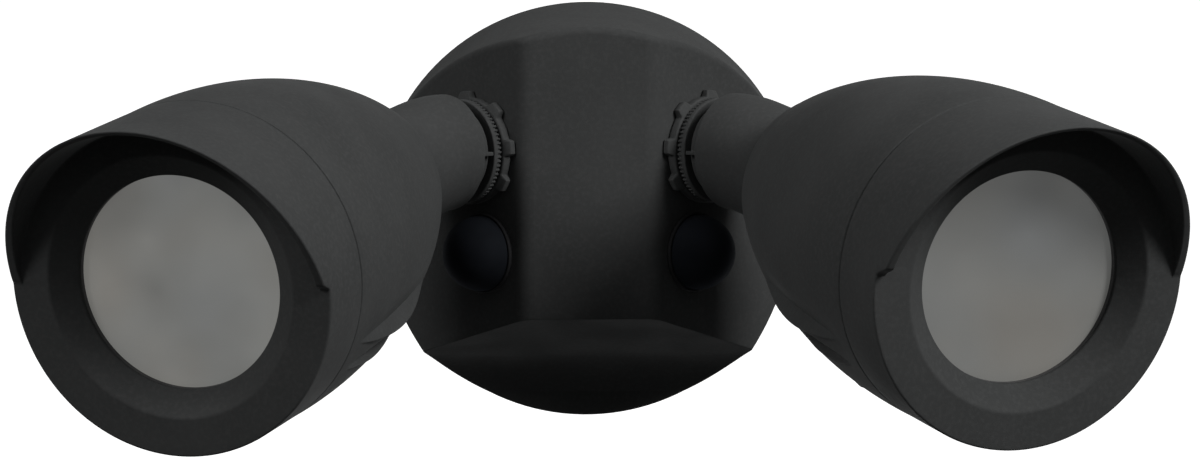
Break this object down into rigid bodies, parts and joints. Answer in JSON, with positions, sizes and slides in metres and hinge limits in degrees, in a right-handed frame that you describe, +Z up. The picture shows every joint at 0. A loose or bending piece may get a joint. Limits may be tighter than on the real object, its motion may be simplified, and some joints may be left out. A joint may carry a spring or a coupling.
{
  "type": "motion sensor security light",
  "caption": "Wall-mounted outdoor security light with a round canopy, hooded bullet lamp heads on swivel arms, and domed motion sensor windows.",
  "frame": {"origin": "centre of the canopy's back, on the wall", "axes": "+Z up, +Y into the wall, the lamp heads face -Y, +X along the wall to the right seen from the front"},
  "size_m": [0.2818, 0.1898, 0.1206],
  "materials": {
    "body_plastic": "fine textured charcoal",
    "ring_plastic": "moulded charcoal",
    "black_rubber": "matte",
    "zinc_steel": "zinc plated",
    "nut_plastic": "moulded",
    "frosted_lens": "frosted",
    "sensor_plastic": "dark glossy",
    "spreader_aluminium": "plain",
    "reflector_white": "white",
    "circuit_board": "coated board",
    "driver_case": "moulded",
    "sensor_can": "plain"
  },
  "bodies": {
    "canopy": {"canopy_housing": "body_plastic", "wall_gasket": "black_rubber", "mounting_strap": "zinc_steel", "canopy_screw": "zinc_steel", "led_driver": "driver_case", "control_board": "circuit_board", "sensor_lens_left": "sensor_plastic", "sensor_bezel_left": "ring_plastic", "sensor_board_left": "circuit_board", "pir_sensor_left": "sensor_can", "sensor_lens_right": "sensor_plastic", "sensor_bezel_right": "ring_plastic", "sensor_board_right": "circuit_board", "pir_sensor_right": "sensor_can"},
    "left_lock_ring": {"lock_ring_left": "ring_plastic"},
    "left_arm": {"arm_left": "body_plastic", "index_collar_left": "ring_plastic", "swivel_stem_left": "zinc_steel", "swivel_seal_left": "black_rubber", "swivel_washer_left": "zinc_steel", "swivel_nut_left": "nut_plastic", "pivot_bolt_left": "zinc_steel"},
    "left_head": {"rear_housing_left": "body_plastic", "front_shroud_left": "body_plastic", "lens_left": "frosted_lens", "lens_gasket_left": "black_rubber", "reflector_left": "reflector_white", "led_board_left": "circuit_board", "heat_spreader_left": "spreader_aluminium"},
    "right_lock_ring": {"lock_ring_right": "ring_plastic"},
    "right_arm": {"arm_right": "body_plastic", "index_collar_right": "ring_plastic", "swivel_stem_right": "zinc_steel", "swivel_seal_right": "black_rubber", "swivel_washer_right": "zinc_steel", "swivel_nut_right": "nut_plastic", "pivot_bolt_right": "zinc_steel"},
    "right_head": {"rear_housing_right": "body_plastic", "front_shroud_right": "body_plastic", "lens_right": "frosted_lens", "lens_gasket_right": "black_rubber", "reflector_right": "reflector_white", "led_board_right": "circuit_board", "heat_spreader_right": "spreader_aluminium"}
  },
  "joints": [
    {"name": "left_lock_ring_turn", "type": "hinge", "parent": "canopy", "child": "left_lock_ring", "pos_m": [-0.03178, -0.0295, 0.02303], "axis": [-0.7071, -0.7002, 0.0984], "range_deg": [0, 30]},
    {"name": "left_arm_swivel", "type": "hinge", "parent": "canopy", "child": "left_arm", "pos_m": [-0.03178, -0.0295, 0.02303], "axis": [-0.7071, -0.7002, 0.0984], "range_deg": [-90, 90]},
    {"name": "left_head_tilt", "type": "hinge", "parent": "left_arm", "child": "left_head", "pos_m": [-0.06383, -0.06125, 0.01907], "axis": [0.9403, -0.3404, 0], "range_deg": [-15, 30]},
    {"name": "right_lock_ring_turn", "type": "hinge", "parent": "canopy", "child": "right_lock_ring", "pos_m": [0.03178, -0.0295, 0.02303], "axis": [-0.7071, 0.7002, -0.0984], "range_deg": [0, 30]},
    {"name": "right_arm_swivel", "type": "hinge", "parent": "canopy", "child": "right_arm", "pos_m": [0.03178, -0.0295, 0.02303], "axis": [0.7071, -0.7002, 0.0984], "range_deg": [-90, 90]},
    {"name": "right_head_tilt", "type": "hinge", "parent": "right_arm", "child": "right_head", "pos_m": [0.06383, -0.06125, 0.01907], "axis": [0.9403, 0.3404, 0], "range_deg": [-15, 30]}
  ]
}
